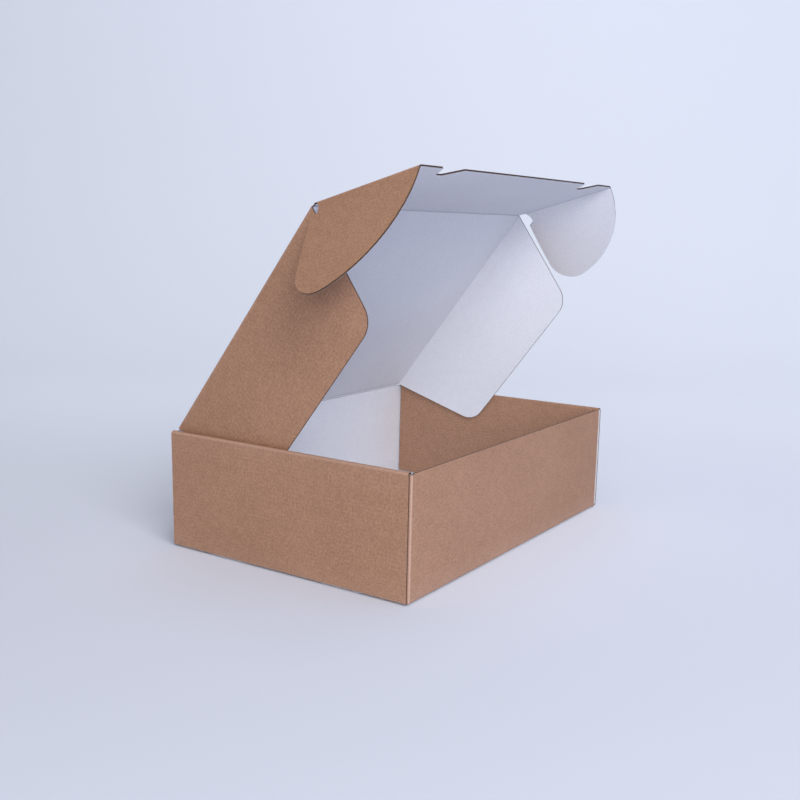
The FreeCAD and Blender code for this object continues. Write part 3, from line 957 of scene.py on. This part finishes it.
# At the crease: rubbed kraft with a painted highlight, painted shade on the white face.
def tuck_rub_and_shading(x, b):
    return 0.8 * bell(b - TUCK_LAP - tuck_length / 2, 0.6)


def tuck_crushed(x, b):
    return 0.3 + 0.7 * min(1.0, abs(b - TUCK_LAP - tuck_length / 2) / 2.5)


tuck = board_object("tuck_board", [board_piece(
    tuck_columns(), tuck_spot, low_marks=arc_marks(TUCK_LAP, tuck_length, 12, 2.0), middle=6,
    worn=tuck_rub_and_shading, crushed=tuck_crushed, seed=7000)])
finish_board(tuck)
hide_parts("tuck_flap")
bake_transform(tuck)

# %% [markdown]
# An ear is about a quarter of a disc. It folds in beside the tray wall and keeps the lid shut. Its
# arc is the part that slides in, and its flutes run along the crease. Next to the crease its lower
# edge is cut back a few millimetres, which lets it pass the tray's corner when the lid comes down.
# The outline is again two ends for each column: the heel and a corner round below, the arc above.

# %% Ears
ear_radius_of_bend = EAR_FOLD / math.tan(EAR_ANGLE / 2)
ear_bend_length = ear_radius_of_bend * EAR_ANGLE
EAR_ARC, EAR_HUB, EAR_SUNK, EAR_ROUND = 100.0, -1.0, 8.3, 22.0
EAR_LOW = 2.8
HEEL_OUT = [-0.4, 0.05, 0.9, 3.0, 6.0, 11.3, 14.5, 40]
HEEL_UP = [2.2, 5.0, 6.0, 7.4, 9.0, 9.3, 3.6, EAR_LOW]
ROUND_AT = math.sqrt((EAR_ARC - EAR_ROUND) ** 2 - (EAR_LOW + EAR_ROUND - EAR_HUB) ** 2) - EAR_SUNK
ROUND_ENDS = ROUND_AT + (ROUND_AT + EAR_SUNK) * EAR_ROUND / (EAR_ARC - EAR_ROUND)
EAR_REACH = ROUND_AT + EAR_ROUND


def ear_ends(w):
    """Lower and upper end of the ear at a distance from its crease."""
    lower = float(np.interp(w, HEEL_OUT, HEEL_UP))
    half = math.sqrt(max(0.0, EAR_ROUND ** 2 - (w - ROUND_AT) ** 2))
    if w > ROUND_AT:
        lower = EAR_LOW + EAR_ROUND - half
    if w < ROUND_ENDS:
        upper = EAR_HUB + math.sqrt(EAR_ARC ** 2 - (max(0.0, w) + EAR_SUNK) ** 2)
    else:
        upper = EAR_LOW + EAR_ROUND + half
    return lower, max(upper, lower + 0.2)


def ear(side):
    line = fold_line((EAR_X - EAR_FOLD - EAR_LAP, 0.0), 0, [
        ("run", EAR_LAP), ("turn", math.degrees(EAR_ANGLE), ear_radius_of_bend),
        ("run", EAR_REACH - EAR_FOLD)])
    start = EAR_LAP + ear_bend_length - EAR_FOLD

    def spot(a, u, offset):
        out = max(0.0, a - start)
        bow = 0.12 * math.sin(math.pi * min(1.0, out / EAR_REACH))
        bow *= math.sin(math.pi * clamp(u / TUCK_DEPTH))
        x, n = on_line(line, a, -offset - bow)
        point = TUCK_POINT + ALONG_TUCK * u + INTO_TUCK * n
        return Vector((side * x, point.y, point.z))

    degrees = (0, 8, 16, 24, 32, 40, 48, 55, 62, 68, 74, 79, 84, 90)
    round_part = [ROUND_AT + EAR_ROUND * math.sin(math.radians(a)) for a in degrees]
    far = [1.5, 3.0, 4.5, 6.0, 8.5, 11.3, 12.9, 14.5, 20, 30, 40, 50, 58] + round_part
    bend_end = EAR_LAP + ear_bend_length + 1e-6
    stops = [m for m in line["marks"] if m <= bend_end] + [start + w for w in far]
    columns = [(a, *ear_ends(a - start)) for a in stops]

    # At the crease: rubbed kraft with a painted highlight, painted shade on the white face.
    def worn(a, u):
        return 0.7 * bell(a - EAR_LAP - ear_bend_length / 2, 0.6)

    return board_piece(columns, spot, middle=9, worn=worn, mirrored=side < 0,
                       seed=8000 + side * 300)


for side, name in ((-1, "left"), (1, "right")):
    thing = finish_board(board_object("ear_board_" + name, [ear(side)]))
    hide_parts("ear_" + name)
    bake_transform(thing)

# %% [markdown]
# The studio is a pale floor that curves up into a backdrop, and four large soft lamps: two at the
# left and in front of the box, a bluish fill from the right and a weak one above. The light is so
# even that every side of the box is nearly as bright as the next, and the inside glows with light
# from its own white walls. The backdrop and the world look a little brighter to the camera than
# they are for the box, which a Light Path node does without adding any light to the box.

# %% Floor and backdrop
FLOOR_BACK, SWEEP, FLOOR_HALF = 0.9, 1.2, 4.5


def sweep_floor():
    """A floor that rises behind the object in one smooth curve, square to the camera."""
    toward = Vector((math.sin(AZIMUTH), -math.cos(AZIMUTH), 0))
    sideways = Vector((math.cos(AZIMUTH), math.sin(AZIMUTH), 0))
    profile = [(-3.0, 0.0), (FLOOR_BACK, 0.0)]
    for turned in (math.radians(a) for a in range(6, 91, 6)):
        profile.append((FLOOR_BACK + SWEEP * math.sin(turned), SWEEP - SWEEP * math.cos(turned)))
    profile.append((FLOOR_BACK + SWEEP, 4.0))
    verts, faces = [], []
    for away, height in profile:
        for aside in (-FLOOR_HALF, FLOOR_HALF):
            verts.append(-toward * away + sideways * aside + Vector((0, 0, height - 0.0002)))
    for k in range(len(profile) - 1):
        faces.append((2 * k, 2 * k + 1, 2 * k + 3, 2 * k + 2))
    mesh = bpy.data.meshes.new("floor")
    mesh.from_pydata(verts, [], faces)
    mesh.shade_smooth()
    floor = bpy.data.objects.new("floor", mesh)
    bpy.context.scene.collection.objects.link(floor)
    return floor


floor = sweep_floor()


def backdrop_material():
    """Matt paper. To the camera alone it glows a little, more up the wall and to the right."""
    material, tree, surface = shader("backdrop_paper", Roughness=0.9, Specular_IOR_Level=0.1)
    surface.inputs["Base Color"].default_value = paint("#D8DCEB")
    place = add(tree, "ShaderNodeTexCoord").outputs["Object"]
    rises = []
    for direction, low, most in (((-math.sin(AZIMUTH), math.cos(AZIMUTH), 1), -0.4, GLOW_BACK),
                                 ((math.cos(AZIMUTH), math.sin(AZIMUTH), 0), -0.9, GLOW_RIGHT)):
        reach = add(tree, "ShaderNodeVectorMath", {"operation": "DOT_PRODUCT"},
                    {0: place, 1: direction}).outputs["Value"]
        rises.append(add(tree, "ShaderNodeMapRange", {"interpolation_type": "SMOOTHSTEP"},
                         {"Value": reach}, From_Min=low, From_Max=0.9, To_Max=most).outputs[0])
    glow = add(tree, "ShaderNodeMath", {"operation": "ADD"}, {0: rises[0], 1: rises[1]})
    seen = add(tree, "ShaderNodeLightPath").outputs["Is Camera Ray"]
    amount = add(tree, "ShaderNodeMath", {"operation": "MULTIPLY"}, {0: glow.outputs[0], 1: seen})
    surface.inputs["Emission Color"].default_value = paint("#EFF6FF")
    tree.links.new(amount.outputs[0], surface.inputs["Emission Strength"])
    return material


GLOW_BACK, GLOW_RIGHT = 0.275, 0.04
floor.data.materials.append(backdrop_material())
print("floor and backdrop:", len(floor.data.polygons), "faces")

# %% [markdown]
# A large area lamp close to the box gives soft shadows, as a softbox does, and small differences in
# power between the lamps give each side of the box its own tone. Their places and powers were
# found by rendering the box under each lamp alone and adding the pictures up.

# %% Lamps and world


def lamp(name, place, target, width, height, power, colour="#FFFFFF"):
    """A rectangular softbox of a size in metres and a power in watts, aimed at a point."""
    data = bpy.data.lights.new(name, "AREA")
    data.shape = "RECTANGLE"
    data.size, data.size_y = width, height
    data.energy = power
    data.color = paint(colour)[:3]
    thing = bpy.data.objects.new(name, data)
    place, target = Vector(place), Vector(target)
    turn = (target - place).to_track_quat("-Z", "Y").to_matrix().to_4x4()
    thing.matrix_world = Matrix.Translation(place) @ turn
    bpy.context.scene.collection.objects.link(thing)
    return thing


lamp("camera_side_softbox", (-2.4, -1.5, 0.8), (0, 0, 0.12), 1.8, 1.1, 38)
lamp("front_softbox", (-1.3, -2.1, 1.8), (0, 0, 0.12), 1.6, 1.2, 50)
lamp("front_right_fill", (1.2, -2.4, 0.8), (0, 0, 0.12), 1.6, 1.2, 9.0, "#A5CAFF")
lamp("top_softbox", (0.0, -0.4, 2.6), (0, 0, 0.1), 1.8, 1.8, 18)
WORLD_LIGHT, WORLD_SHOWN = 0.07, 0.72
world = bpy.data.worlds.new("studio")
bpy.context.scene.world = world
world.use_nodes = True
sky = world.node_tree.nodes["Background"]
sky.inputs["Color"].default_value = paint("#F4F6FF")
shown = add(world.node_tree, "ShaderNodeLightPath").outputs["Is Camera Ray"]
strength = add(world.node_tree, "ShaderNodeMapRange", None, {"Value": shown},
               To_Min=WORLD_LIGHT, To_Max=WORLD_SHOWN)
world.node_tree.links.new(strength.outputs[0], sky.inputs["Strength"])
bpy.context.scene.view_settings.view_transform = "Standard"
lamps = sorted(thing.name for thing in bpy.data.objects if thing.type == "LIGHT")
print("lamps:", ", ".join(lamps))
